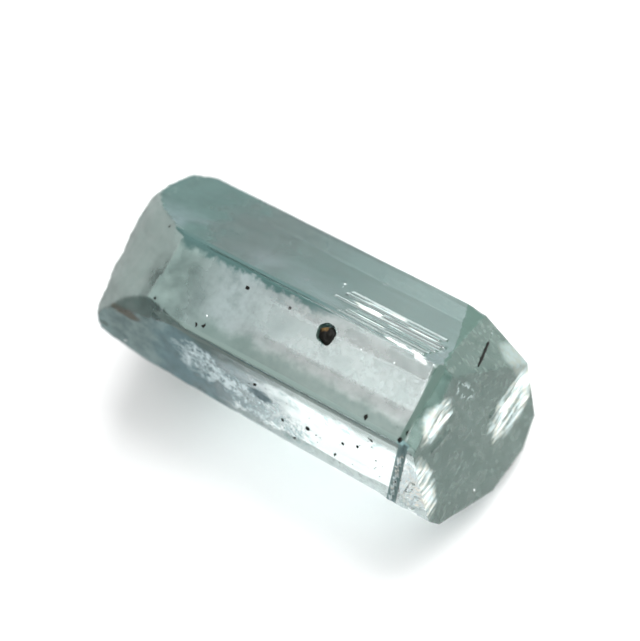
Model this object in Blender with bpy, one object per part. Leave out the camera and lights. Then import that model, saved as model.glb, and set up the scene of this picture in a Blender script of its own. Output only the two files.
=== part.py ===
"""An aquamarine crystal lying on one prism face, with a dark mineral grain set in its upper face.

The long axis runs along X with the faceted termination at +X and the broken end at -X.
All sizes are in metres and the crystal rests on the plane z = 0.
"""

import math
import random

import bmesh
import bpy
from mathutils import Matrix, Vector, noise

MM = 0.001

# The six prism faces: direction round the long axis in degrees, and distance from the axis.
# The crystal is shaped with its upper face at crystal_top and moved onto the ground at the end.
crystal_top = 9.9 * MM
axis_height = 4.95 * MM
prism_faces = {
    90: crystal_top - axis_height,
    30: 3.86 * MM,
    -30: 3.92 * MM,
    270: 6.50 * MM,
    210: 3.74 * MM,
    150: 4.06 * MM,
}
blank_length = 30 * MM

# Termination facets: a point on each, its direction round the axis, and its angle from the axis.
termination_facets = [
    {"point": (8.32, 0.0, 0.0), "round": 10, "from_axis": 3.4},
    {"point": (6.64, 3.30, 7.08), "round": 17, "from_axis": 55},
    {"point": (5.05, 4.49, 4.96), "round": 25, "from_axis": 80},
    {"point": (6.76, -4.52, 5.30), "round": 153, "from_axis": 83},
    {"point": (7.66, 0.0, 9.9), "round": 83, "from_axis": 52},
    {"point": (8.12, -1.10, 0.10), "round": 245, "from_axis": 45},
    {"point": (8.42, 1.20, 0.10), "round": 285, "from_axis": 48},
]

# The broken end: where its surface lies, how far it falls back towards the edges, and where
# that starts. The way to each edge is raised to the power, so that the fall is late and round.
break_x = -9.80 * MM
lean_up = {"reach": 4.4 * MM, "from_z": 4.2 * MM, "power": 3.4}
lean_down = {"reach": 1.8 * MM, "from_z": 2.5 * MM, "to_z": -1.55 * MM, "power": 2}
lean_side = {"reach": 1.7 * MM, "half_width": 4.45 * MM, "power": 4}

# Its surface: fractal lumps, curved ripples round a point near one lower edge, and one knob.
lumps = {"height": 0.16 * MM, "per_mm": 0.55, "offset": Vector((3.1, 0.4, 7.7))}
ripples = {"height": 0.035 * MM, "spacing": 0.9 * MM, "y": 3.2 * MM, "z": 1.0 * MM}
knob = {"height": 0.5 * MM, "radius": 0.5 * MM, "y": 4.2 * MM, "z": 5.7 * MM}
break_cells = 52
break_half_span = 7.2 * MM

# Chips knocked off the long edges near the broken end: a point and an outward direction each.
edge_chips = [
    {"point": (-1.3, -4.50, 5.3), "outward": (-0.110, -0.992, 0.05)},
    {"point": (-7.4, -3.80, 5.2), "outward": (-0.02, -0.998, -0.06)},
    {"point": (-3.2, -1.83, 9.9), "outward": (-0.12, -0.60, 0.79)},
    {"point": (-5.3, 1.62, 9.9), "outward": (-0.12, 0.55, 0.83)},
]

# Raised growth plates on the upper right prism face, side by side below its top edge.
plate_face = 30
plate_start_x = (1.4 * MM, 3.9 * MM)
plate_end_x = (6.5 * MM, 7.0 * MM)
plate_count = 7
plate_zone_top = 3.30 * MM
plate_zone_bottom = 1.20 * MM
plate_width_share = (0.45, 0.85)
plate_rise = (0.027 * MM, 0.045 * MM)
plate_seed = 11

# Small etch pits: prism face, then place along X, place across the face and size in millimetres.
pit_spots = [
    (90, -1.51, -0.85, 0.20),
    (90, 0.63, -0.92, 0.15),
    (90, -5.18, 1.30, 0.17),
    (90, 5.85, 1.46, 0.15),
    (90, 7.30, 1.30, 0.12),
    (150, 0.22, -2.06, 0.16),
    (150, 2.79, -0.90, 0.13),
    (150, 4.06, -0.10, 0.14),
    (150, 6.20, -2.10, 0.13),
    (30, -6.40, 0.40, 0.22),
    (30, 1.24, 1.01, 0.14),
    (30, 2.20, -0.60, 0.13),
]
pit_depth_share = 0.4

# A ledge crossing the upper left prism face just behind the termination.
ledge_start = Vector((7.98, -1.75, 9.95)) * MM
ledge_end = Vector((6.60, -4.55, 5.20)) * MM
ledge_width = 0.22 * MM
ledge_depth = 0.07 * MM

# Low roof-shaped ridges on the termination: facet index, then both ends in millimetres.
ridges = [
    (0, (8.0, 0.75, 4.35), (8.0, 2.70, 2.95)),
    (0, (8.0, 1.00, 3.75), (8.0, 2.85, 2.40)),
    (0, (8.0, 0.90, 3.20), (8.0, 2.60, 1.90)),
    (0, (8.0, 1.25, 2.40), (8.0, 2.30, 1.60)),
    (0, (8.0, -1.10, 8.95), (8.0, 0.25, 8.00)),
    (0, (8.0, -1.55, 8.20), (8.0, -0.45, 7.45)),
    (3, (7.62, -3.60, 6.90), (8.12, -3.00, 7.90)),
    (3, (7.72, -4.02, 6.02), (8.15, -3.45, 7.05)),
]
ridge_width = 0.26 * MM
ridge_rise = 0.055 * MM

# The dark grain and the open pit that it sits in.
grain_centre = Vector((2.63, 0.66, 9.9)) * MM
grain_half_size = Vector((0.45, 0.41, 0.26)) * MM
grain_turn = math.radians(-58)
grain_taper = 0.45
grain_bulge = 0.12
grain_gap = 0.045 * MM
grain_rise = 0.02 * MM
seat_opening = 0.6 * MM

finishes = {
    "beryl": {"colour": (0.60, 0.74, 0.73, 1), "roughness": 0.05, "alpha": 0.5},
    "dark_mineral": {"colour": (0.02, 0.018, 0.015, 1), "roughness": 0.45, "alpha": 1},
}


def clear_scene():
    for item in list(bpy.data.objects):
        bpy.data.objects.remove(item, do_unlink=True)


def new_collection(name):
    collection = bpy.data.collections.new(name)
    bpy.context.scene.collection.children.link(collection)
    return collection


def make_material(name):
    finish = finishes[name]
    material = bpy.data.materials.new(name)
    material.use_nodes = True
    shader = material.node_tree.nodes["Principled BSDF"]
    shader.inputs["Base Color"].default_value = finish["colour"]
    shader.inputs["Roughness"].default_value = finish["roughness"]
    shader.inputs["Metallic"].default_value = 0
    shader.inputs["Alpha"].default_value = finish["alpha"]
    return material


def to_object(bm, name, collection):
    bmesh.ops.recalc_face_normals(bm, faces=bm.faces)
    mesh = bpy.data.meshes.new(name)
    bm.to_mesh(mesh)
    bm.free()
    item = bpy.data.objects.new(name, mesh)
    collection.objects.link(item)
    return item


def facet_normal(round_axis, from_axis):
    """Unit normal from a direction round the long axis and an angle away from it, in degrees."""
    turn, lean = math.radians(round_axis), math.radians(from_axis)
    side = math.sin(lean)
    return Vector((math.cos(lean), side * math.cos(turn), side * math.sin(turn)))


def face_frame(face):
    """The middle of a prism face, its outward direction, and the direction across it."""
    outward = facet_normal(face, 90)
    across = Vector((1, 0, 0)).cross(outward)
    middle = Vector((0, 0, axis_height)) + outward * prism_faces[face]
    return middle, outward, across


def slice_off(bm, point, outward):
    """Remove everything on the outer side of a plane and close the cut."""
    cut = bmesh.ops.bisect_plane(
        bm,
        geom=bm.verts[:] + bm.edges[:] + bm.faces[:],
        dist=1e-8,
        plane_co=point,
        plane_no=outward,
        clear_outer=True,
    )
    rim = [item for item in cut["geom_cut"] if isinstance(item, bmesh.types.BMEdge)]
    bmesh.ops.holes_fill(bm, edges=rim, sides=0)


def crystal_blank():
    """A hexagonal prism with its termination facets and edge chips, cut from a plain block."""
    bm = bmesh.new()
    bmesh.ops.create_cube(bm, size=blank_length, matrix=Matrix.Translation((0, 0, axis_height)))
    for face in prism_faces:
        middle, outward, _ = face_frame(face)
        slice_off(bm, middle, outward)
    for facet in termination_facets:
        slice_off(bm, Vector(facet["point"]) * MM, facet_normal(facet["round"], facet["from_axis"]))
    for chip in edge_chips:
        slice_off(bm, Vector(chip["point"]) * MM, Vector(chip["outward"]))
    return bm


def break_offset(y, z):
    """How far the broken surface stands back from break_x at a point of the cross-section."""
    up = max(0.0, (z - lean_up["from_z"]) / (crystal_top - lean_up["from_z"]))
    down = max(0.0, (lean_down["from_z"] - z) / (lean_down["from_z"] - lean_down["to_z"]))
    side = abs(y) / lean_side["half_width"]
    lean = lean_up["reach"] * up ** lean_up["power"]
    lean += lean_down["reach"] * down ** lean_down["power"]
    lean += lean_side["reach"] * side ** lean_side["power"]
    spot = Vector((0.0, y, z)) / MM * lumps["per_mm"] + lumps["offset"]
    lump = noise.fractal(spot, 0.9, 2.1, 4)
    turns = math.hypot(y - ripples["y"], z - ripples["z"]) / ripples["spacing"]
    ripple = math.sin(math.tau * turns + 2 * lump)
    knob_distance = math.hypot(y - knob["y"], z - knob["z"]) / knob["radius"]
    raised = knob["height"] * math.exp(-(knob_distance**2))
    return lean + lumps["height"] * lump + ripples["height"] * ripple - raised


def break_cutter():
    """A block whose inner side is the broken end's uneven surface."""
    bm = bmesh.new()
    stand_up = Matrix.Translation((0, 0, axis_height)) @ Matrix.Rotation(math.radians(90), 4, "Y")
    bmesh.ops.create_grid(
        bm, x_segments=break_cells, y_segments=break_cells, size=break_half_span, matrix=stand_up
    )
    for vert in bm.verts:
        vert.co.x = break_x + break_offset(vert.co.y, vert.co.z)
    back = bmesh.ops.extrude_face_region(bm, geom=bm.faces[:])
    back_verts = [item for item in back["geom"] if isinstance(item, bmesh.types.BMVert)]
    for vert in back_verts:
        vert.co.x = -blank_length
    return bm


def add_bar(bm, start, end, outward, width, rise, roof=False):
    """Add a straight bar that stands out of a face by the rise, and as far into it."""
    along = (end - start).normalized()
    across = outward.cross(along).normalized()
    turn = Matrix((along, across, outward)).transposed().to_4x4()
    place = Matrix.Translation((start + end) / 2) @ turn
    section = Matrix.Diagonal((1, width, 2 * rise, 1))
    if roof:
        section = section @ Matrix.Rotation(math.radians(45), 4, "X") @ Matrix.Diagonal(
            (1, math.sqrt(0.5), math.sqrt(0.5), 1)
        )
    length = Matrix.Diagonal(((end - start).length, 1, 1, 1))
    bmesh.ops.create_cube(bm, size=1, matrix=place @ section @ length)


def on_facet(facet, spot):
    """The place on a termination facet straight below or above a spot given in millimetres."""
    outward = facet_normal(facet["round"], facet["from_axis"])
    away = Vector(spot) - Vector(facet["point"])
    return (Vector(spot) - outward * away.dot(outward)) * MM


def termination_ridges():
    """Slender roof-shaped bars lying half sunk in the termination facets."""
    bars = []
    for facet_index, first, second in ridges:
        facet = termination_facets[facet_index]
        outward = facet_normal(facet["round"], facet["from_axis"])
        start, end = on_facet(facet, first), on_facet(facet, second)
        bm = bmesh.new()
        add_bar(bm, start, end, outward, ridge_width, ridge_rise, roof=True)
        bars.append(bm)
    return bars


def growth_plates(randomness):
    """Long flat steps that follow the long axis, laid side by side on one prism face."""
    middle, outward, across = face_frame(plate_face)
    pitch = (plate_zone_top - plate_zone_bottom) / plate_count
    plates = []
    for index in range(plate_count):
        centre = middle + across * (plate_zone_top - pitch * (index + 0.5))
        start = centre + Vector((randomness.uniform(*plate_start_x), 0, 0))
        end = centre + Vector((randomness.uniform(*plate_end_x), 0, 0))
        rise = randomness.uniform(*plate_rise)
        bm = bmesh.new()
        add_bar(bm, start, end, outward, pitch * randomness.uniform(*plate_width_share), rise)
        plates.append(bm)
    return plates


def etch_pits():
    """Shallow four-sided pits, pointed at the bottom, as cutters standing on their faces."""
    bm = bmesh.new()
    for face, along, across_share, size in pit_spots:
        middle, outward, across = face_frame(face)
        centre = middle + Vector((along * MM, 0, 0)) + across * (across_share * MM)
        turn = Matrix((Vector((1, 0, 0)), across, outward)).transposed().to_4x4()
        depth = size * pit_depth_share * MM
        place = Matrix.Translation(centre) @ turn @ Matrix.Rotation(math.radians(45), 4, "Z")
        bmesh.ops.create_cone(
            bm,
            cap_ends=True,
            segments=4,
            radius1=0,
            radius2=size * MM,
            depth=2 * depth,
            matrix=place,
        )
    return bm


def ledge_cutter():
    """A narrow bar that leaves the shallow ledge behind the termination."""
    bm = bmesh.new()
    _, outward, _ = face_frame(150)
    add_bar(bm, ledge_start, ledge_end, outward, ledge_width, ledge_depth)
    return bm


def grain_shape(grow):
    """A worn shield-shaped lump; grow enlarges it evenly so that it can cut its own seat."""
    bm = bmesh.new()
    bmesh.ops.create_icosphere(bm, subdivisions=3, radius=1)
    for vert in bm.verts:
        bulge = 1 + grain_bulge * noise.noise(vert.co * 1.7 + Vector((5, 2, 9)))
        vert.co.y *= 1 - grain_taper * max(0.0, vert.co.x) ** 1.5
        vert.co *= bulge
    reach = Matrix.Diagonal(tuple(half + grow for half in grain_half_size) + (1,))
    sunk = Vector((0, 0, grain_rise - grain_half_size.z))
    turn = Matrix.Rotation(grain_turn, 4, "Z")
    place = Matrix.Translation(grain_centre + sunk) @ turn @ reach
    bmesh.ops.transform(bm, matrix=place, verts=bm.verts)
    return bm


def grain_seat():
    """The open pit for the grain: its own shape grown by the gap, opened upwards."""
    bm = grain_shape(grain_gap)
    rim_height = grain_centre.z - grain_half_size.z + grain_rise
    for vert in bm.verts:
        if vert.co.z > rim_height:
            vert.co.z += seat_opening
    return bm


def apply_boolean(item, cutter, operation):
    modifier = item.modifiers.new(operation.lower(), "BOOLEAN")
    modifier.solver = "EXACT"
    modifier.operation = operation
    modifier.object = cutter
    cutter.hide_render = True
    cutter.display_type = "WIRE"


def build_crystal(parts, cutters):
    crystal = to_object(crystal_blank(), "crystal", parts)
    crystal.data.materials.append(make_material("beryl"))
    raised_forms = growth_plates(random.Random(plate_seed)) + termination_ridges()
    for index, bm in enumerate(raised_forms):
        apply_boolean(crystal, to_object(bm, f"raised_{index}", cutters), "UNION")
    for name, bm in (
        ("break_cutter", break_cutter()),
        ("pit_cutter", etch_pits()),
        ("ledge_cutter", ledge_cutter()),
        ("grain_seat_cutter", grain_seat()),
    ):
        apply_boolean(crystal, to_object(bm, name, cutters), "DIFFERENCE")
    return crystal


def build_grain(parts):
    grain = to_object(grain_shape(0), "dark_grain", parts)
    grain.data.materials.append(make_material("dark_mineral"))
    return grain


def bake_modifiers(item):
    """Replace the object's mesh with its evaluated shape and drop the modifiers."""
    graph = bpy.context.evaluated_depsgraph_get()
    finished = bpy.data.meshes.new_from_object(item.evaluated_get(graph))
    item.modifiers.clear()
    item.data = finished


def stand_over_origin(items):
    """Shift the pieces so that the crystal rests on z = 0 with its box centred over the origin."""
    corners = [vert.co for vert in items[0].data.vertices]
    lowest = Vector(tuple(min(co[axis] for co in corners) for axis in range(3)))
    highest = Vector(tuple(max(co[axis] for co in corners) for axis in range(3)))
    middle = (lowest + highest) / 2
    for item in items:
        item.data.transform(Matrix.Translation((-middle.x, -middle.y, -lowest.z)))


def main():
    clear_scene()
    parts = new_collection("aquamarine_crystal")
    cutters = new_collection("cutters")
    cutters.hide_render = True
    crystal = build_crystal(parts, cutters)
    grain = build_grain(parts)
    bake_modifiers(crystal)
    stand_over_origin([crystal, grain])


main()
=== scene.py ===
import math
import random
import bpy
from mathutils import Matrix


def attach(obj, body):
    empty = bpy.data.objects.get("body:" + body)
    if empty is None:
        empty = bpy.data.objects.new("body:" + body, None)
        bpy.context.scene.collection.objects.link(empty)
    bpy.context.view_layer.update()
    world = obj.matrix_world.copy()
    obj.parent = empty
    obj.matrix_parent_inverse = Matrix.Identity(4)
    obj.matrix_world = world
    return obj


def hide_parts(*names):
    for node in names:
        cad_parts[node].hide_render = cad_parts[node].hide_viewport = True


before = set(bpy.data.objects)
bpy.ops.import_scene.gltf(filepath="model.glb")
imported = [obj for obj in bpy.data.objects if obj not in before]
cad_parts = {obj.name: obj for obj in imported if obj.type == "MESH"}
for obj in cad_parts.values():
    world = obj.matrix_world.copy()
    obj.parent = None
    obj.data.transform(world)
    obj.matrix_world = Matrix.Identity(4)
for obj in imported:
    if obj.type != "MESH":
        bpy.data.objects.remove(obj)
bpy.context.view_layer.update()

from types import SimpleNamespace

import bmesh
import bpy
from mathutils import Matrix, Vector, noise

mm = 0.001
print("frame loaded:", ", ".join(sorted(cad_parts)))


class Wire:
    # wraps a shader socket, so that sums and products of values add Math nodes
    def __init__(self, look, socket):
        self.look = look
        self.socket = socket

    def maths(self, operation, *values):
        return self.look.add("Math", {"operation": operation}, dict(enumerate(values)))

    def __add__(self, other):
        return self.maths("ADD", self, other)

    def __sub__(self, other):
        return self.maths("SUBTRACT", self, other)

    def __mul__(self, other):
        return self.maths("MULTIPLY", self, other)

    def __rsub__(self, other):
        return self.maths("SUBTRACT", other, self)

    __radd__ = __add__
    __rmul__ = __mul__

    def over(self, low, high):
        # 0 below low, 1 above high, smooth between
        return self.look.add("MapRange", {"interpolation_type": "SMOOTHSTEP"},
                             {"Value": self, "From Min": low, "From Max": high})


class Look:
    # a material or the world, being made; add() is the one way in which its nodes are added
    def __init__(self, owner):
        self.owner = owner
        owner.use_nodes = True
        self.tree = owner.node_tree
        self.tree.nodes.clear()

    def add(self, kind, settings=None, inputs=None, output=0):
        node = self.tree.nodes.new("ShaderNode" + kind)
        for name, value in (settings or {}).items():
            setattr(node, name, value)
        for name, value in (inputs or {}).items():
            if isinstance(value, Wire):
                self.tree.links.new(value.socket, node.inputs[name])
            else:
                node.inputs[name].default_value = value
        return Wire(self, node.outputs[output]) if node.outputs else None


def mixColours(look, factor, first, second):
    return look.add("Mix", {"data_type": "RGBA"}, {"Factor": factor, 6: first, 7: second}, output=2)


def newObject(name, data):
    item = bpy.data.objects.new(name, data)
    bpy.context.scene.collection.objects.link(item)
    return item


def newMeshObject(name, bm, look):
    mesh = bpy.data.meshes.new(name)
    bm.to_mesh(mesh)
    bm.free()
    mesh.materials.append(look.owner)
    return newObject(name, mesh)


def newPiece(name, bm, look):
    piece = newMeshObject(name, bm, look)
    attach(piece, "root")
    return piece


crystalForm = {
    "cell": 0.2,            # spacing of the slices that the surface is divided by, in millimetres
    "sharpAngle": 24,       # degrees; a sharper turn is a crisp edge
    "flatAngle": 0.5,       # degrees; triangles that turn less are one face
    "mergeCopy": 0.0005,    # corners nearer than this are one, in millimetres
    "mergeCuts": 0.002,
    # broad growth waves on the prism faces: height, and noise steps per millimetre
    "waves": 0.010 * mm,
    "waveAlong": 0.35,
    "waveAcross": 1.1,
    # fine growth lines along the length, which come and go
    "lines": 0.010 * mm,
    "lineAlong": 0.25,
    "lineAcross": 5.0,
    "lineAhead": (0.05, 0.3),
    "lineGate": (-0.25, 0.35),
    # etched, crackled patch on the lower left face
    "crackle": 0.030 * mm,
    "crackleGrain": 1.6,
    "crackleSide": (0.7, 0.85),
    "crackleUntil": (-1.0, 4.0),
    # broken end
    "breakDepth": 0.05 * mm,
    "breakGrain": 2.5,
    "breakUntil": (-8.4, -6.4),
    # steep ripples on the end facets
    "hackle": 0.045 * mm,
    "hackleCell": 0.05,     # spacing of the finer slices there, in millimetres
    "hackleFrom": 8.7,      # only beyond this place along the length, in millimetres
    "hackleAhead": 0.3,     # and only where the face looks this much ahead
    "hackleLeast": 0.02,    # least share of a patch that gets the finer slices
    "hackleLean": -25,      # degrees below level, across the end facet
    "rippleAlong": 0.7,
    "rippleAcross": 4.2,
    "patchGrain": 2.3,
    "patchWobble": 0.25,
    "patchEdge": (0.7, 1.1),
}
endTurn = math.radians(crystalForm["hackleLean"])
alongHackle = Vector((0, math.cos(endTurn), math.sin(endTurn)))
acrossHackle = Vector((0, -math.sin(endTurn), math.cos(endTurn)))
# the same ripples where they run on over the ledge
alongLedge = Vector((0.493, 0.435, 0.757))
acrossLedge = Vector((0.870, -0.247, -0.429))

# hackled patches on the end: middle, reach along and across the ripples, in millimetres
hacklePatches = [
    {"middle": (8.9, 1.45, 4.30), "along": 1.9, "across": 1.25},
    {"middle": (8.8, -0.55, 10.45), "along": 1.2, "across": 0.75},
    {"middle": (8.7, -3.40, 9.00), "along": 0.95, "across": 2.1},
]


def smoothStep(value, low, high):
    share = min(1.0, max(0.0, (value - low) / (high - low)))
    return share * share * (3 - 2 * share)


def hackleShare(spot):
    # how far a place on the end, in millimetres, lies inside the hackled patches
    form = crystalForm
    share = 0.0
    for patch in hacklePatches:
        away = spot - Vector(patch["middle"])
        along = away.dot(alongHackle) / patch["along"]
        across = away.dot(acrossHackle) / patch["across"]
        edge = form["patchWobble"] * noise.noise(spot * form["patchGrain"])
        share = max(share, 1 - smoothStep(math.hypot(along, across) + edge, *form["patchEdge"]))
    return share


def slicePiece(bm, geometry, direction, spacing):
    # cut the geometry by parallel planes
    reach = [vert.co.dot(direction) for vert in geometry if isinstance(vert, bmesh.types.BMVert)]
    place = math.ceil(min(reach) / spacing) * spacing + spacing * 0.37
    while place < max(reach):
        cut = bmesh.ops.bisect_plane(bm, geom=geometry, dist=1e-7,
                                     plane_co=direction * place, plane_no=direction)
        geometry = cut["geom"]
        place += spacing


def wholeOf(bm):
    return bm.verts[:] + bm.edges[:] + bm.faces[:]


def partOf(faces):
    verts = {vert for face in faces for vert in face.verts}
    edges = {edge for face in faces for edge in face.edges}
    return list(verts) + list(edges) + list(faces)


def isHackled(spot, normal):
    return normal.x > crystalForm["hackleAhead"] and spot.x > crystalForm["hackleFrom"]


def drawnOut(spot, along, across):
    # noise with other steps along the length than across it
    return noise.noise(Vector((spot.x * along, spot.y * across, spot.z * across)))


def surfaceOffset(spot, normal):
    # how far the surface stands out at a place, which is in millimetres
    form = crystalForm
    offset = form["waves"] * drawnOut(spot, form["waveAlong"], form["waveAcross"])
    ring = 1 - smoothStep(abs(normal.x), *form["lineAhead"])
    gate = smoothStep(noise.noise(spot * 0.5 + Vector((0, 9, 4))), *form["lineGate"])
    offset += form["lines"] * drawnOut(spot, form["lineAlong"], form["lineAcross"]) * ring * gate
    lowerLeft = smoothStep(-normal.y, *form["crackleSide"])
    lowerLeft *= 1 - smoothStep(spot.x, *form["crackleUntil"])
    offset += form["crackle"] * noise.fractal(spot * form["crackleGrain"], 0.9, 2.2, 4) * lowerLeft
    broken = 1 - smoothStep(spot.x, *form["breakUntil"])
    offset += form["breakDepth"] * noise.fractal(spot * form["breakGrain"], 0.9, 2.0, 4) * broken
    if isHackled(spot, normal):
        along, across = spot.dot(alongHackle), spot.dot(acrossHackle)
        ripple = Vector((along * form["rippleAlong"], across * form["rippleAcross"], 1.3))
        offset += form["hackle"] * noise.noise(ripple) * hackleShare(spot)
    return offset


def makeCrystal():
    form = crystalForm
    bm = bmesh.new()
    bm.from_mesh(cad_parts["crystal"].data)
    bmesh.ops.remove_doubles(bm, verts=bm.verts, dist=form["mergeCopy"] * mm)
    flat = math.radians(form["flatAngle"])
    bmesh.ops.dissolve_limit(bm, angle_limit=flat, verts=bm.verts, edges=bm.edges)
    for direction in (Vector((1, 0, 0)), Vector((0, 1, 0)), Vector((0, 0, 1))):
        slicePiece(bm, wholeOf(bm), direction, form["cell"] * mm)
    bm.normal_update()
    hackled = []
    for face in bm.faces:
        spot = face.calc_center_median() / mm
        if isHackled(spot, face.normal) and hackleShare(spot) > form["hackleLeast"]:
            hackled.append(face)
    slicePiece(bm, partOf(hackled), acrossHackle, form["hackleCell"] * mm)
    bmesh.ops.triangulate(bm, faces=bm.faces)
    bmesh.ops.remove_doubles(bm, verts=bm.verts, dist=form["mergeCuts"] * mm)
    bm.normal_update()
    offsets = [surfaceOffset(vert.co / mm, vert.normal) for vert in bm.verts]
    for vert, offset in zip(bm.verts, offsets):
        vert.co += vert.normal * offset
        vert.co.z = max(vert.co.z, 0.0)    # the resting face stays flat
    crystal = newPiece("crystalBody", bm, crystalLook())
    crystal.data.shade_smooth()
    crystal.data.set_sharp_from_angle(angle=math.radians(form["sharpAngle"]))
    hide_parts("crystal")
    print("crystal faces:", len(crystal.data.polygons))


crystalSkin = {
    # body
    "ior": 1.577,
    "absorbColour": (0.25, 0.76, 0.74, 1),
    "absorbPerMetre": 14,
    "facetRoughness": 0.03,
    "breakRoughness": 0.4,
    "middleRoughness": 0.22,
    "endRoughness": 0.15,
    # what each face does to the light that passes it; the top, upper, border, lower-left, end and strip
    # tints are painted shade
    "clear": (1.0, 1.0, 0.995, 1),
    "sideTint": (0.88, 0.965, 0.955, 1),    # faces that look sideways and down
    # painted shade: the top face passes less light than the flanks, in mottled spots
    "topPaintedShade": (0.77, 0.79, 0.78, 1),
    "topClear": (0.96, 0.955, 0.945, 1),
    "borderPaintedShade": (0.34, 0.41, 0.38, 1),    # painted shade: soft dark borders of the top face
    "upperPaintedShade": (0.20, 0.34, 0.32, 1),     # painted shade on the face on the +Y side of the top one
    # painted shade: dark band along the upper face
    "upperBandPaintedShade": (0.10, 0.20, 0.19, 1),
    "milkyTint": (0.42, 0.56, 0.53, 1),     # towards the broken end
    # painted shade on the lower face towards the broken end
    "lowerLeftPaintedShade": (0.27, 0.43, 0.47, 1),
    "speckleTint": (0.42, 0.60, 0.60, 1),
    "endPaintedShade": (0.34, 0.48, 0.43, 1),       # painted shade on the faceted end
    "stripPaintedShade": (0.12, 0.18, 0.15, 1),     # painted shade on the narrow strip where the end begins
    # thin cover of scratches, etching, cracks and stains, which also carries painted shade and painted
    # light; its colour on each face
    "hazeTop": (0.175, 0.235, 0.22, 1),
    # painted light: the top face's cover paler towards the clear end
    "paintedLightMiddle": (0.38, 0.45, 0.45, 1),
    "paintedLightRight": (0.60, 0.62, 0.61, 1),
    # painted shade: dark cover on the upper face
    "paintedShadeUpper": (0.055, 0.105, 0.098, 1),
    # painted shade: the upper face's darker band
    "paintedShadeBand": (0.13, 0.18, 0.19, 1),
    # painted shade on the lower face
    "paintedShadeLower": (0.15, 0.275, 0.305, 1),
    # painted shade on the faceted end, paler in random patches
    "paintedShadeEnd": (0.060, 0.108, 0.090, 1),
    "paintedShadeEndPale": (0.165, 0.225, 0.195, 1),
    "hazeDark": (0.05, 0.085, 0.08, 1),
    # painted shade on the borders and edges of the top face
    "paintedShadeBorder": (0.095, 0.14, 0.125, 1),
    "paintedShadeLine": (0.055, 0.105, 0.10, 1),
    "paintedShadeEdge": (0.15, 0.20, 0.185, 1),
    "hazePale": (0.37, 0.445, 0.42, 1),
    "hazeLowLeft": (0.32, 0.42, 0.41, 1),
    # painted shade on the strip where the end begins, paler along the ledge
    "paintedShadeStrip": (0.075, 0.115, 0.10, 1),
    "paintedShadeStripLow": (0.15, 0.24, 0.24, 1),
    "hazeBlotch": (0.09, 0.15, 0.17, 1),
    "hazeRust": (0.11, 0.085, 0.06, 1),
    # painted highlights on the hackled end and its ledge; also white scratches and pale spots
    "highlightAndScratchWhite": (0.97, 0.965, 0.88, 1),
    "hazeBlue": (0.84, 0.98, 1.0, 1),
    "hazeRoughness": 0.7,
    "hazeShine": 0.1,
    # how much of it covers each part
    "coverTop": 0.36,
    "coverMiddle": 0.20,
    "coverEnd": 0.60,
    "coverShoulder": 0.50,
    "coverUpper": 0.47,
    "coverBorder": 0.40,
    "coverMilky": 0.55,
    "coverLowerLeft": 0.75,
    "coverStrip": 0.90,
    "coverEdge": 0.45,
    "coverMost": 0.95,      # never all of it, so that light still enters
}

# places on the crystal, in millimetres: the middle of each and how far it reaches
crystalPlaces = {
    "crackle": ((-1.87, -2.98, 9.76), (2.1, 1.0, 1.3)),
    "crackleTail": ((1.2, -3.4, 9.0), (2.4, 0.9, 1.3)),
    "blotch": ((1.1, -3.0, 9.73), (0.66, 0.45, 0.42)),
    "speckles": ((2.3, -3.7, 8.50), (1.8, 0.9, 1.0)),
    "streaks": ((5.7, 2.2, 10.40), (2.7, 1.2, 1.2)),
    "jagged": ((6.3, 1.38, 11.40), (1.9, 0.20, 0.30)),
    "paleChain": ((8.9, 1.05, 9.30), (0.4, 0.45, 1.50)),
    "paleCorner": ((8.5, 3.4, 4.80), (1.0, 0.9, 1.90)),
    "ledgePatch": ((8.7, -3.40, 9.10), (1.2, 1.6, 2.20)),
    "rustStreak": ((-6.04, -2.62, 10.30), (1.10, 0.20, 0.60)),
}

# where each zone begins and where it is full
crystalZones = {
    # the share of a face's direction that is up, sideways or ahead
    "topUp": (0.93, 0.98),
    "flankSide": (0.75, 0.83),
    "upperUp": (0.3, 0.45),
    "lowerUp": (0.2, 0.35),
    "endAhead": (0.2, 0.4),
    "backBehind": (0.12, 0.45),
    "shoulderFrom": (0.10, 0.15),
    "shoulderUntil": (0.3, 0.4),
    "shoulderSide": (0.80, 0.85),
    "stripUp": (0.60, 0.70),
    "clearUp": (0.0, 0.3),
    # along the length, in millimetres
    "milkyUntil": (-5.8, -3.0),
    "lowerLeftUntil": (-3.4, 1.4),
    "lowBorderFrom": (-4.5, -1.0),
    "lowBorderSideFrom": (-3.5, -1.5),
    "highBorderUntil": (1.5, 5.0),
    "stripFrom": (8.22, 8.28),
    "stripUntil": (8.46, 8.54),
    "middleUntil": (-2.0, 2.0),
    "specklesFrom": (1.0, 3.0),
    "upperPaleFrom": (0.5, 5.0),
    # where the painted light on the top face's cover begins
    "paintedLightMiddleFrom": (-4.0, -1.0),
    "paintedLightRightFrom": (-1.5, 3.0),
    # past the ledge before the end, whose plane leans back
    "ledgeStripFrom": (-0.32, -0.26),
    "ledgeStripUntil": (0.12, 0.18),
    # across the width and up the height
    "lowBorderOut": (0.72, 1.45),
    "highBorderOut": (0.86, 1.24),
    "lowBorderHeight": (10.55, 10.95),
    "lowEdgeHeight": (11.10, 11.20),
    "highEdgeHeight": (11.12, 11.24),
    "speckleHeight": (9.7, 10.6),
    "bandHeight": (9.2, 10.5),
    "bandHalf": (0.1, 0.55),
    # out along the directions in which the two flanks look
    "nearLower": (7.24, 7.32),
    "nearUpper": (6.84, 6.92),
}
ledgePlane = {"slope": 0.2905, "from": 5.32}
upperBandLine = {"slope": 0.16, "height": 9.85}    # painted shade: dark band along the upper face
lowerOutward = Vector((0, -0.866, 0.5))
upperOutward = Vector((0, 0.866, 0.5))

crystalNoises = {
    # scale per millimetre, detail, stretch along each axis
    "cloud": (0.42, 3, (1, 1, 1)),
    "mottle": (1.1, 4, (1, 1, 1)),
    "fuzz": (3.4, 5, (1, 1, 1)),
    "grit": (6.5, 4, (1, 1, 1)),
    "fibre": (1.0, 3, (0.35, 3.4, 3.4)),
    "ragged": (1.0, 4, (0.9, 3.6, 3.6)),
}

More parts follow.
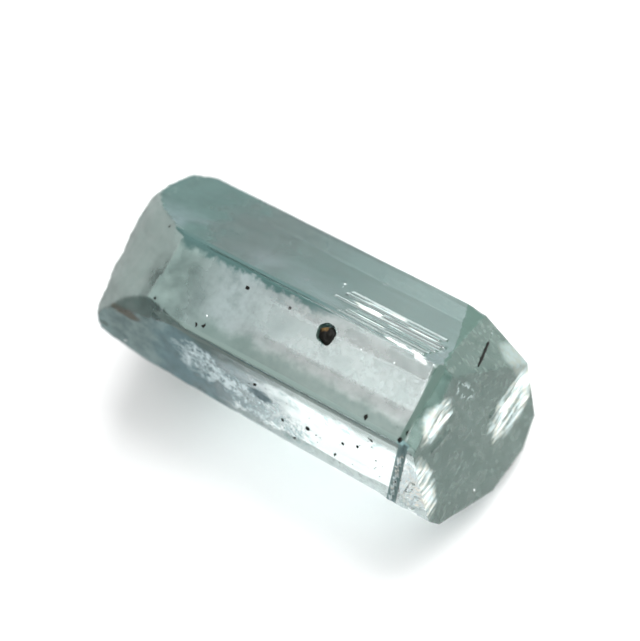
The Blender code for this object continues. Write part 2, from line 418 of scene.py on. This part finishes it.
# the share of its noise at which each pattern begins and is full
crystalPatterns = {
    "topPaintedShade": (0.34, 0.66),
    "topDark": (0.34, 0.74),
    "milkyTint": (0.35, 0.6),
    "milkyPale": (0.35, 0.65),
    "upperBand": (0.40, 0.64),
    "endPale": (0.42, 0.60),
    "speckle": (0.50, 0.58),
    "speckleHigh": (0.53, 0.60),
    "crackleSoft": (0.36, 0.64),
    "crackleFine": (0.42, 0.66),
    "scratches": (0.54, 0.60),
    "jagged": (0.48, 0.58),
    "chain": (0.52, 0.62),
    "bluish": (0.40, 0.60),
    "streaks": (0.30, 0.68),
    "placeEdge": (0.55, 1.05),    # these two are shares of the way out from the middle
    "patchEdge": (0.35, 1.25),
}

# how strong each pattern is
crystalAmounts = {
    # strength of the painted dark band on the upper face
    "upperBand": 0.8,
    "milkyTint": 0.5,
    "lowerLeft": 0.85,
    # strength of the painted shade on the borders
    "borderPaintedShade": 0.9,
    "borderCoverShade": 0.85,
    "upperPale": 0.2,
    "milkyUpper": 0.15,
    "milkyLower": 0.8,
    "milkyPale": 0.15,
    "backPale": 0.75,
    "endPale": 0.8,
    "dark": 0.45,
    "milkyDark": 0.25,      # that much more in the milky zone
    "rust": 0.8,
    "blotch": 0.8,
    "crackleTail": 0.9,
    "crackleSoft": 0.68,
    "crackleFine": 0.4,
    "ledge": 0.6,
    "ledgeLeast": 0.4,
    "scratches": 0.9,
    "jagged": 0.9,
    "chain": 0.35,
    "corner": 0.2,
}


def axesOf(look, vector):
    return [look.add("SeparateXYZ", inputs={0: vector}, output=axis) for axis in "XYZ"]


def placeIn(look):
    # Object coordinates, in millimetres
    spot = look.add("TexCoord", output="Object")
    return look.add("VectorMath", {"operation": "SCALE"}, {0: spot, "Scale": 1 / mm})


def clouds(look, place, scale, detail, stretch=(1, 1, 1)):
    # soft noise round 0.5; scale is per millimetre
    moved = look.add("Mapping", inputs={"Vector": place, "Scale": stretch})
    return look.add("TexNoise", inputs={"Vector": moved, "Scale": scale, "Detail": detail})


def awayFrom(look, place, middle, reach):
    # distance from a middle, as a share of the reach
    away = look.add("VectorMath", {"operation": "SUBTRACT"}, {0: place, 1: middle})
    share = look.add("VectorMath", {"operation": "DIVIDE"}, {0: away, 1: reach})
    return look.add("VectorMath", {"operation": "LENGTH"}, {0: share}, output="Value")


def around(look, place, name, warp):
    # 1 near a named place, fading out at its reach, with a border that warp makes uneven
    away = awayFrom(look, place, *crystalPlaces[name]) + (warp - 0.5) * 1.4
    return 1 - away.over(*crystalPatterns["placeEdge"])


def alongAxis(look, place, direction):
    return look.add("VectorMath", {"operation": "DOT_PRODUCT"}, {0: place, 1: direction}, output="Value")


def streaky(look, along, across, warp):
    # noise drawn out along one direction
    drawn = look.add("CombineXYZ", inputs={0: along * 0.8, 1: across * 4.2 + warp * 2})
    noisy = look.add("TexNoise", inputs={"Vector": drawn, "Scale": 1.0, "Detail": 4.0})
    return noisy.over(*crystalPatterns["streaks"]) * 0.8 + 0.15


def hackles(look, place, warp):
    # streaky broken patches on the end: how strongly each place shows them, for their painted highlight
    along = alongAxis(look, place, alongHackle)
    across = alongAxis(look, place, acrossHackle)
    reach = 0.0
    for patch in hacklePatches:
        middle = Vector(patch["middle"])
        first = (along - middle.dot(alongHackle)) * (1 / patch["along"])
        second = (across - middle.dot(acrossHackle)) * (1 / patch["across"])
        length = first * first + second * second + (warp - 0.5) * 1.6
        reach = (1 - length.over(*crystalPatterns["patchEdge"])) + reach
    return reach * streaky(look, along, across, warp)


def readPlace(look):
    # everything that the zones are worked out from: place, direction of the face, and noises
    place = placeIn(look)
    x, y, z = axesOf(look, place)
    ahead, side, up = axesOf(look, look.add("TexCoord", output="Normal"))
    noises = {name: clouds(look, place, *values) for name, values in crystalNoises.items()}
    at = SimpleNamespace(place=place, x=x, y=y, z=z, ahead=ahead, side=side, up=up, **noises)
    at.spots = at.mottle * 0.6 + at.fuzz * 0.4
    return at


def findFaces(at):
    # faces, told by the way they look
    zones = crystalZones
    at.topFace = at.up.over(*zones["topUp"])
    at.upperFace = at.side.over(*zones["flankSide"]) * at.up.over(*zones["upperUp"])
    at.lowerFace = (at.side * -1).over(*zones["flankSide"]) * at.up.over(*zones["lowerUp"])
    at.endFace = at.ahead.over(*zones["endAhead"])
    at.backFace = (at.ahead * -1).over(*zones["backBehind"])
    at.shoulder = at.ahead.over(*zones["shoulderFrom"]) * (1 - at.ahead.over(*zones["shoulderUntil"]))
    at.shoulder = at.shoulder * at.side.over(*zones["shoulderSide"])


def findBorders(look, at):
    # painted shade: soft dark borders and dark lines at the sharp edges along both sides of the top face
    zones = crystalZones
    drift, wobble, shake = at.cloud - 0.5, at.mottle - 0.5, at.fuzz - 0.5
    leftPart = 1 - at.x.over(*zones["highBorderUntil"])
    onTop = (at.y * -1 + wobble).over(*zones["lowBorderOut"])
    onTop = at.topFace * onTop * (at.x + drift * 6).over(*zones["lowBorderFrom"])
    onFlank = at.lowerFace * (at.z + wobble * 0.8).over(*zones["lowBorderHeight"])
    at.lowBorder = onTop + onFlank * at.x.over(*zones["lowBorderSideFrom"])
    highOut = at.y + wobble * 0.5 + shake * 0.7
    at.highBorder = at.topFace * highOut.over(*zones["highBorderOut"]) * leftPart
    at.nearLower = alongAxis(look, at.place, lowerOutward).over(*zones["nearLower"])
    nearUpper = alongAxis(look, at.place, upperOutward).over(*zones["nearUpper"])
    at.lowEdge = at.nearLower * at.z.over(*zones["lowEdgeHeight"])
    at.highEdge = nearUpper * at.z.over(*zones["highEdgeHeight"]) * leftPart


def findZones(look, at):
    zones = crystalZones
    wobble = at.mottle - 0.5
    at.milky = 1 - (at.x + (at.cloud - 0.5) * 4 + wobble * 3).over(*zones["milkyUntil"])
    # lower face towards the broken end, which gets painted shade
    at.lowerLeft = at.lowerFace * (1 - (at.x + wobble * 4).over(*zones["lowerLeftUntil"]))
    at.middle = at.topFace * (1 - at.x.over(*zones["middleUntil"]))
    # painted shade: a dark band along the upper face
    offBand = at.z - at.x * upperBandLine["slope"] - upperBandLine["height"] + wobble * 0.9
    at.upperBand = 1 - look.add("Math", {"operation": "ABSOLUTE"}, {0: offBand}).over(*zones["bandHalf"])
    # painted shade: narrow dark strip where the end begins, and on along the ledge
    pastLedge = at.x - at.z * ledgePlane["slope"] - ledgePlane["from"]
    beyond = pastLedge.over(*zones["ledgeStripUntil"])
    strip = at.up.over(*zones["stripUp"]) * at.x.over(*zones["stripFrom"])
    strip = strip * (1 - at.x.over(*zones["stripUntil"]))
    at.strip = strip + at.nearLower * pastLedge.over(*zones["ledgeStripFrom"]) * (1 - beyond)
    at.lowerEnd = at.lowerFace * beyond
    speckle = around(look, at.place, "speckles", at.mottle) * at.fuzz.over(*crystalPatterns["speckle"])
    speckleHigh = at.lowerFace * at.z.over(*zones["speckleHeight"]) * at.x.over(*zones["specklesFrom"])
    at.speckle = speckle + speckleHigh * at.fuzz.over(*crystalPatterns["speckleHigh"])


def paint(look, colour, layers):
    # lay colours over each other, each where its mask says
    for mask, layer in layers:
        colour = mixColours(look, mask, colour, layer)
    return colour


def tintAndPaintedShade(look, at):
    # tint of the light that passes each face; on the top, upper, lower-left, end, border and strip parts
    # it is painted shade
    skin, patterns, amounts = crystalSkin, crystalPatterns, crystalAmounts
    topSpots = at.spots.over(*patterns["topPaintedShade"])
    milkyLeast = 1 - amounts["milkyTint"]
    milkySpots = at.mottle.over(*patterns["milkyTint"]) * amounts["milkyTint"] + milkyLeast
    flanks = mixColours(look, at.up.over(*crystalZones["clearUp"]), skin["sideTint"], skin["clear"])
    return paint(look, flanks, [
        # painted shade on the top face, mottled
        (at.topFace, mixColours(look, topSpots, skin["topPaintedShade"], skin["topClear"])),
        # painted shade on the upper face
        (at.upperFace, skin["upperPaintedShade"]),
        (at.upperFace * at.upperBand * amounts["upperBand"], skin["upperBandPaintedShade"]),
        (at.speckle * at.lowerFace, skin["speckleTint"]),
        (at.endFace + at.shoulder, skin["endPaintedShade"]),
        (at.milky * milkySpots, skin["milkyTint"]),
        (at.lowerLeft * amounts["lowerLeft"], skin["lowerLeftPaintedShade"]),
        ((at.lowBorder + at.highBorder) * amounts["borderPaintedShade"], skin["borderPaintedShade"]),
        (at.strip, skin["stripPaintedShade"]),
    ])


def hazeAndPaintedLightColour(look, at):
    # colour of the cover on each face, without the bright crackle and highlights: stains and random
    # mottle, painted shade on the upper, lower, end, border, edge and strip parts, and painted light
    # towards the clear end of the top face
    skin, zones, patterns, amounts = crystalSkin, crystalZones, crystalPatterns, crystalAmounts
    # painted shade: a darker band along the upper face
    band = at.cloud.over(*patterns["upperBand"]) * at.z.over(*zones["bandHeight"])
    # painted shade: dark cover on the upper face, darker along its band, paler towards +X
    upper = paint(look, skin["paintedShadeUpper"], [
        (band, skin["paintedShadeBand"]),
        (at.x.over(*zones["upperPaleFrom"]) * amounts["upperPale"], skin["hazePale"]),
    ])
    # top face's cover: paler towards the clear end, as painted light
    top = paint(look, skin["hazeTop"], [
        (at.x.over(*zones["paintedLightMiddleFrom"]), skin["paintedLightMiddle"]),
        (at.x.over(*zones["paintedLightRightFrom"]), skin["paintedLightRight"]),
    ])
    endPale = at.endFace * (at.fuzz * 0.6 + at.mottle * 0.4).over(*patterns["endPale"])
    dark = at.spots.over(*patterns["topDark"]) * (at.milky * amounts["milkyDark"] + amounts["dark"])
    milkyPale = at.milky * at.topFace * at.fuzz.over(*patterns["milkyPale"])
    rust = around(look, at.place, "rustStreak", at.mottle)
    return paint(look, top, [
        # painted shade on the upper face
        (at.upperFace, upper),
        (at.milky * at.upperFace * amounts["milkyUpper"], skin["hazeTop"]),
        # painted shade on the lower face
        (at.lowerFace, skin["paintedShadeLower"]),
        (at.lowerFace * at.milky * amounts["milkyLower"], skin["hazeLowLeft"]),
        # painted shade on the end
        (at.endFace + at.shoulder, skin["paintedShadeEnd"]),
        (endPale * amounts["endPale"], skin["paintedShadeEndPale"]),
        (dark, skin["hazeDark"]),
        (milkyPale * amounts["milkyPale"] + at.backFace * amounts["backPale"], skin["hazePale"]),
        # painted shade on the borders and edges
        (at.lowBorder * amounts["borderCoverShade"], skin["paintedShadeBorder"]),
        (at.lowEdge, skin["paintedShadeEdge"]),
        (at.highBorder + at.highEdge, skin["paintedShadeLine"]),
        (rust * amounts["rust"], skin["hazeRust"]),
        # painted shade on the strip
        (at.strip, mixColours(look, at.nearLower, skin["paintedShadeStrip"], skin["paintedShadeStripLow"])),
    ])


def coverShare(at):
    # how much of each place the cover hides, without the bright crackle and highlights; on the upper,
    # lower-left, end, border, edge and strip parts this cover is painted shade
    masks = {
        "coverTop": at.topFace,
        "coverMiddle": at.middle,
        "coverEnd": at.endFace,
        "coverShoulder": at.shoulder,
        "coverUpper": at.upperFace,
        "coverBorder": at.lowBorder + at.highBorder,
        "coverMilky": at.milky,
        "coverLowerLeft": at.lowerLeft,
        "coverStrip": at.strip,
        "coverEdge": at.lowEdge + at.highEdge,
    }
    return sum(mask * crystalSkin[name] for name, mask in masks.items())


def crackleShare(look, at):
    # bluish crackle along the lower face
    patterns, amounts = crystalPatterns, crystalAmounts
    patch = around(look, at.place, "crackle", at.mottle)
    tail = around(look, at.place, "crackleTail", at.mottle) * amounts["crackleTail"]
    soft = at.fuzz.over(*patterns["crackleSoft"]) * amounts["crackleSoft"]
    fine = at.grit.over(*patterns["crackleFine"]) * amounts["crackleFine"]
    return at.lowerFace * (patch + tail) * (soft + fine)


def whiteShare(look, at):
    # painted highlights: white on the hackled end and its ledge; also white scratches along the upper
    # edge, and pale spots
    patterns, amounts, place = crystalPatterns, crystalAmounts, at.place
    # painted highlights on the hackled patches and on the ledge
    broken = hackles(look, place, at.mottle) * at.endFace
    along, across = alongAxis(look, place, alongLedge), alongAxis(look, place, acrossLedge)
    ledge = streaky(look, along, across, at.mottle) * amounts["ledge"] + amounts["ledgeLeast"]
    ledge = around(look, place, "ledgePatch", at.mottle) * at.lowerEnd * ledge
    scratches = around(look, place, "streaks", at.cloud) * at.upperFace
    scratches = scratches * at.fibre.over(*patterns["scratches"]) * amounts["scratches"]
    jagged = around(look, place, "jagged", at.fuzz) * at.ragged.over(*patterns["jagged"])
    chain = around(look, place, "paleChain", at.fuzz) * at.endFace * at.fuzz.over(*patterns["chain"])
    corner = around(look, place, "paleCorner", at.cloud) * at.endFace
    pale = jagged * amounts["jagged"] + chain * amounts["chain"] + corner * amounts["corner"]
    return broken + ledge + scratches + pale


def crystalLook():
    skin = crystalSkin
    look = Look(bpy.data.materials.new("aquamarine"))
    at = readPlace(look)
    findFaces(at)
    findBorders(look, at)
    findZones(look, at)

    crackle, white = crackleShare(look, at), whiteShare(look, at)
    blotch = around(look, at.place, "blotch", at.fuzz) * crystalAmounts["blotch"]
    bluish = at.fuzz.over(*crystalPatterns["bluish"])
    # cover colour: stains, crackle and mottle, with painted shade and painted highlights
    haze = paint(look, hazeAndPaintedLightColour(look, at), [
        (crackle, skin["hazeBlue"]),
        (blotch, skin["hazeBlotch"]),
        (white, mixColours(look, bluish, skin["highlightAndScratchWhite"], skin["hazeBlue"])),
    ])
    cover = coverShare(at) + blotch + crackle + white
    cover = look.add("Math", {"operation": "MINIMUM"}, {0: cover, 1: skin["coverMost"]})
    roughness = at.milky * skin["breakRoughness"] + at.middle * skin["middleRoughness"]
    roughness = roughness + at.endFace * skin["endRoughness"] + skin["facetRoughness"]

    glass = look.add("BsdfPrincipled", inputs={
        "Base Color": tintAndPaintedShade(look, at),
        "Roughness": roughness,
        "IOR": skin["ior"],
        "Transmission Weight": 1.0,
    })
    dull = look.add("BsdfPrincipled", inputs={
        "Base Color": haze,
        "Roughness": skin["hazeRoughness"],
        "Specular IOR Level": skin["hazeShine"],
    })
    surface = look.add("MixShader", inputs={"Fac": cover, 1: glass, 2: dull})
    inside = look.add("VolumeAbsorption", inputs={
        "Color": skin["absorbColour"],
        "Density": skin["absorbPerMetre"],
    })
    look.add("OutputMaterial", inputs={"Surface": surface, "Volume": inside})
    return look


darkMarks = {
    "blackColour": (0.006, 0.006, 0.005, 1),
    "rustColour": (0.11, 0.068, 0.026, 1),
    "rustMiddle": (3.00, 0.78, 11.42),    # rusty stain on the shield-shaped grain, in millimetres
    "rustReach": (0.30, 0.30, 0.30),
    "pitDepth": 0.05,
    "shine": 0.1,
    # the needle lies half sunk in the slanting facet; ends and half thickness in millimetres
    "needle": ((7.77, 3.31, 6.95), (8.63, 2.14, 8.71)),
    "needleThickness": 0.075,
    "needleSteps": 12,
    # single grains: place and size
    "grains": [
        ((-5.60, 1.49, 11.00), 0.11), ((-4.52, -1.48, 11.41), 0.10), ((-0.85, 0.68, 11.43), 0.12),
        ((1.29, 0.75, 11.43), 0.09), ((-2.20, -1.62, 11.45), 0.10), ((-1.85, -1.50, 11.45), 0.11),
        ((0.88, -2.66, 10.30), 0.09), ((3.46, -3.24, 9.30), 0.10), ((4.74, -3.67, 8.56), 0.07),
        ((6.52, -1.64, 11.43), 0.11), ((6.88, -2.40, 10.75), 0.08), ((8.45, -1.45, 11.45), 0.10),
        ((8.30, -1.80, 11.45), 0.11), ((2.10, -3.45, 9.00), 0.06), ((2.60, -3.90, 8.20), 0.06),
        ((5.30, -3.10, 9.60), 0.06), ((6.10, -2.90, 9.90), 0.06),
    ],
    "grow": 1.3,             # all of those sizes are enlarged by this
    "sunk": 0.35,            # how far they are sunk into the surface, as a share of their size
    # more fine ones, strewn over the top face and its lower neighbour
    "strewn": 70,
    "strewnSize": (0.015, 0.04),
    "strewnTop": ((-4, 8), (-1.8, 1.2), 11.40),                   # along, across, height
    "strewnLower": ((0, 8.0), (-2.05, 11.35), (-2.1, -3.6)),      # along, upper edge, way down
    "strewnDown": (0.15, 0.95),
    "topEvery": 3,           # one strewn grain in so many lies on the top face
    "drawSeed": 11,
    "strewnSeed": 40,        # so that no two sorts have grains of one shape
    "paleSeed": 200,
    "pale": [
        ((-1.92, -1.12, 11.45), 0.045), ((-6.54, -3.72, 8.49), 0.06), ((1.91, 2.66, 9.27), 0.04),
        ((2.05, 2.50, 9.55), 0.03), ((9.11, -2.41, 4.24), 0.05), ((6.55, 0.73, 11.45), 0.035),
        ((5.00, 0.60, 11.45), 0.03),
    ],
    "paleColour": (0.90, 0.93, 0.93, 1),
}


def grainLook():
    marks = darkMarks
    look = Look(bpy.data.materials.new("darkMineral"))
    place = placeIn(look)
    pits = clouds(look, place, 6.0, 5)
    away = awayFrom(look, place, marks["rustMiddle"], marks["rustReach"])
    rust = 1 - (away + (pits - 0.5) * 1.5).over(0.5, 1.0)
    bump = {"Height": pits, "Strength": 0.6, "Distance": marks["pitDepth"] * mm}
    shader = look.add("BsdfPrincipled", inputs={
        "Base Color": mixColours(look, rust, marks["blackColour"], marks["rustColour"]),
        "Roughness": pits * 0.4 + 0.4,
        "Specular IOR Level": marks["shine"],
        "Normal": look.add("Bump", inputs=bump),
    })
    look.add("OutputMaterial", inputs={"Surface": shader})
    return look


def flakeLook():
    look = Look(bpy.data.materials.new("paleFlake"))
    shader = look.add("BsdfPrincipled", inputs={
        "Base Color": darkMarks["paleColour"],
        "Roughness": clouds(look, placeIn(look), 9.0, 4) * 0.5 + 0.1,
    })
    look.add("OutputMaterial", inputs={"Surface": shader})
    return look


rodForm = {"segments": 8, "leastTaper": 0.04, "width": 0.8, "uneven": 0.5, "unevenSteps": 4}


def makeRod(name, ends, thickness, steps, look):
    # a thin rod, tapered and uneven, between two places; all in millimetres
    form = rodForm
    start, end = Vector(ends[0]) * mm, Vector(ends[1]) * mm
    length = (end - start).length
    bm = bmesh.new()
    bmesh.ops.create_cone(bm, cap_ends=True, segments=form["segments"], depth=length,
                          radius1=thickness * mm, radius2=thickness * mm)
    sides = [edge for edge in bm.edges if edge.calc_length() > length / 2]
    bmesh.ops.subdivide_edges(bm, edges=sides, cuts=steps)
    for vert in bm.verts:
        along = vert.co.z / length * 2
        taper = math.sqrt(max(form["leastTaper"], 1 - along ** 4))
        bulge = noise.noise((along * form["unevenSteps"], length / mm, 0))
        width = taper * (form["width"] + form["uneven"] * bulge)
        vert.co.x *= width
        vert.co.y *= width
    turn = (end - start).to_track_quat("Z", "Y").to_matrix().to_4x4()
    bmesh.ops.transform(bm, matrix=Matrix.Translation((start + end) / 2) @ turn, verts=bm.verts)
    rod = newPiece(name, bm, look)
    rod.data.shade_smooth()


lumpForm = {"width": 0.9, "uneven": 1.1, "unevenSteps": 1.3, "seedStep": 3.7, "flat": 0.6}


def addLump(bm, place, size, seed):
    # a small angular grain at a place, both in millimetres
    form = lumpForm
    shift = Vector((seed * form["seedStep"], 0, 0))
    ball = bmesh.ops.create_icosphere(bm, subdivisions=1, radius=size * mm)
    for vert in ball["verts"]:
        bulge = noise.noise(vert.co / (size * mm) * form["unevenSteps"] + shift)
        vert.co *= form["width"] + form["uneven"] * bulge
        vert.co.z *= form["flat"]
    bmesh.ops.translate(bm, verts=ball["verts"], vec=Vector(place) * mm)


grainBody = {
    "middle": (3.27, 0.46, 11.21),
    "wide": 0.37,            # half width, half length and half height, in millimetres
    "long": 0.48,
    "high": 0.245,
    "flatEnd": -0.62,        # the blunt end, as a share of the half length
    "flatTop": 0.86,         # and the flat top, as a share of the half height
    "taper": 0.62,           # how much of the width goes towards the pointed end
    "rough": 0.035,
    "sharpAngle": 30,
}
grainPoint = Vector((0.506, -0.863, 0))
grainSide = Vector((0.863, 0.506, 0))


def makeGrain(dark):
    form = grainBody
    bm = bmesh.new()
    bmesh.ops.create_icosphere(bm, subdivisions=5, radius=1)
    for vert in bm.verts:
        spot = vert.co.copy()
        along = max(spot.y, form["flatEnd"])
        width = form["wide"] * (1 - form["taper"] * max(0, along))
        place = grainSide * spot.x * width + grainPoint * along * form["long"]
        place.z = min(spot.z, form["flatTop"]) * form["high"]
        place += spot * form["rough"] * noise.fractal(spot * 2.2, 0.9, 2.0, 4)
        vert.co = (place + Vector(form["middle"])) * mm
    grain = newPiece("grainBody", bm, dark)
    grain.data.shade_smooth()
    grain.data.set_sharp_from_angle(angle=math.radians(form["sharpAngle"]))
    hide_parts("dark_grain")


def strewnPlace(number):
    # a chance place for a fine grain, in millimetres
    marks = darkMarks
    if number % marks["topEvery"]:
        along, (edgeY, edgeZ), (downY, downZ) = marks["strewnLower"]
        x, down = random.uniform(*along), random.uniform(*marks["strewnDown"])
        return Vector((x, edgeY + downY * down, edgeZ + downZ * down))
    along, across, height = marks["strewnTop"]
    return Vector((random.uniform(*along), random.uniform(*across), height))


def makeMarks(dark):
    marks = darkMarks
    makeRod("needle", marks["needle"], marks["needleThickness"], marks["needleSteps"], dark)

    random.seed(marks["drawSeed"])
    bm = bmesh.new()
    for number, (place, size) in enumerate(marks["grains"]):
        addLump(bm, Vector(place) - Vector((0, 0, marks["sunk"] * size)), size * marks["grow"], number)
    for number in range(marks["strewn"]):
        size = random.uniform(*marks["strewnSize"])
        place = strewnPlace(number)
        addLump(bm, place - Vector((0, 0, marks["sunk"] * size)), size, number + marks["strewnSeed"])
    newPiece("fineGrains", bm, dark)

    bm = bmesh.new()
    for number, (place, size) in enumerate(marks["pale"]):
        addLump(bm, place, size, number + marks["paleSeed"])
    newPiece("paleFlakes", bm, flakeLook())
    print("marks made")


makeCrystal()
dark = grainLook()
makeGrain(dark)
makeMarks(dark)
print("crystal made")


stage = {
    "floorRadius": 0.9,
    "floorGap": 0.03 * mm,      # air under the resting face
    "floorColour": (0.9, 0.9, 0.9, 1),
    "floorRoughness": 0.9,
}


def makeFloor():
    look = Look(bpy.data.materials.new("paper"))
    paper = {"Base Color": stage["floorColour"], "Roughness": stage["floorRoughness"]}
    look.add("OutputMaterial", inputs={"Surface": look.add("BsdfPrincipled", inputs=paper)})
    bm = bmesh.new()
    under = Matrix.Translation((0, 0, -stage["floorGap"]))
    bmesh.ops.create_circle(bm, cap_ends=True, segments=96, radius=stage["floorRadius"], matrix=under)
    floor = newMeshObject("floor", bm, look)


lights = {
    # azimuth and elevation in degrees, azimuth from +X towards +Y
    "key": {"azimuth": 50, "elevation": 78, "size": 0.18, "power": 0.42},
    "side": {"azimuth": 62, "elevation": 50, "size": 0.18, "power": 1.45},
    "front": {"azimuth": -15, "elevation": 38, "size": 0.16, "power": 0.07},
}
lightDistance = 0.3


def makeLights():
    for name, light in lights.items():
        lamp = bpy.data.lights.new(name, "AREA")
        lamp.shape = "DISK"
        lamp.size = light["size"]
        lamp.energy = light["power"]
        level, turn = math.radians(light["elevation"]), math.radians(light["azimuth"])
        flat = math.cos(level)
        away = Vector((flat * math.cos(turn), flat * math.sin(turn), math.sin(level)))
        item = newObject(name, lamp)
        item.location = away * lightDistance
        item.rotation_euler = away.to_track_quat("Z", "Y").to_euler()


sky = {
    "low": 0.20,          # brightness from the horizon up to lowUntil
    "lowUntil": 0.55,     # as the sine of the height angle
    "high": 0.40,
    "colour": (1, 1, 1, 1),
}


def makeSky():
    look = Look(bpy.data.worlds.new("studio"))
    height = look.add("SeparateXYZ", inputs={0: look.add("TexCoord", output="Generated")}, output="Z")
    ramp = {"Value": height, "From Min": sky["lowUntil"], "To Min": sky["low"], "To Max": sky["high"]}
    glow = {"Color": sky["colour"], "Strength": look.add("MapRange", inputs=ramp)}
    look.add("OutputWorld", inputs={"Surface": look.add("Background", inputs=glow)})
    bpy.context.scene.world = look.owner


cameraRig = {
    "lookAt": (0.514 * mm, 0.862 * mm, 7.01 * mm),
    "tilt": 27.0,        # degrees from straight down, towards +X
    "roll": 27.6,
    "distance": 109.2 * mm,
    "framePixels": 640,
    "focalPixels": 2600,
    "focus": (4.0 * mm, 0.5 * mm, 10.4 * mm),    # place that is sharp
    "aperture": 2.4 * mm,
    "clip": (1 * mm, 10),
}


def makeCamera():
    rig = cameraRig
    data = bpy.data.cameras.new("camera")
    data.sensor_fit = "HORIZONTAL"
    data.angle = 2 * math.atan(rig["framePixels"] / 2 / rig["focalPixels"])
    data.clip_start, data.clip_end = rig["clip"]
    sharp = newObject("sharpPlace", None)
    sharp.location = rig["focus"]
    data.dof.use_dof = True
    data.dof.focus_object = sharp
    data.dof.aperture_fstop = data.lens * mm / rig["aperture"]
    camera = newObject("camera", data)
    camera.matrix_world = (
        Matrix.Translation(rig["lookAt"])
        @ Matrix.Rotation(math.radians(rig["tilt"]), 4, "Y")
        @ Matrix.Rotation(math.radians(rig["roll"]), 4, "Z")
        @ Matrix.Translation((0, 0, rig["distance"]))
    )
    bpy.context.scene.camera = camera
    bpy.context.scene.view_settings.view_transform = "Standard"


makeFloor()
makeLights()
makeSky()
makeCamera()
print("stage made")
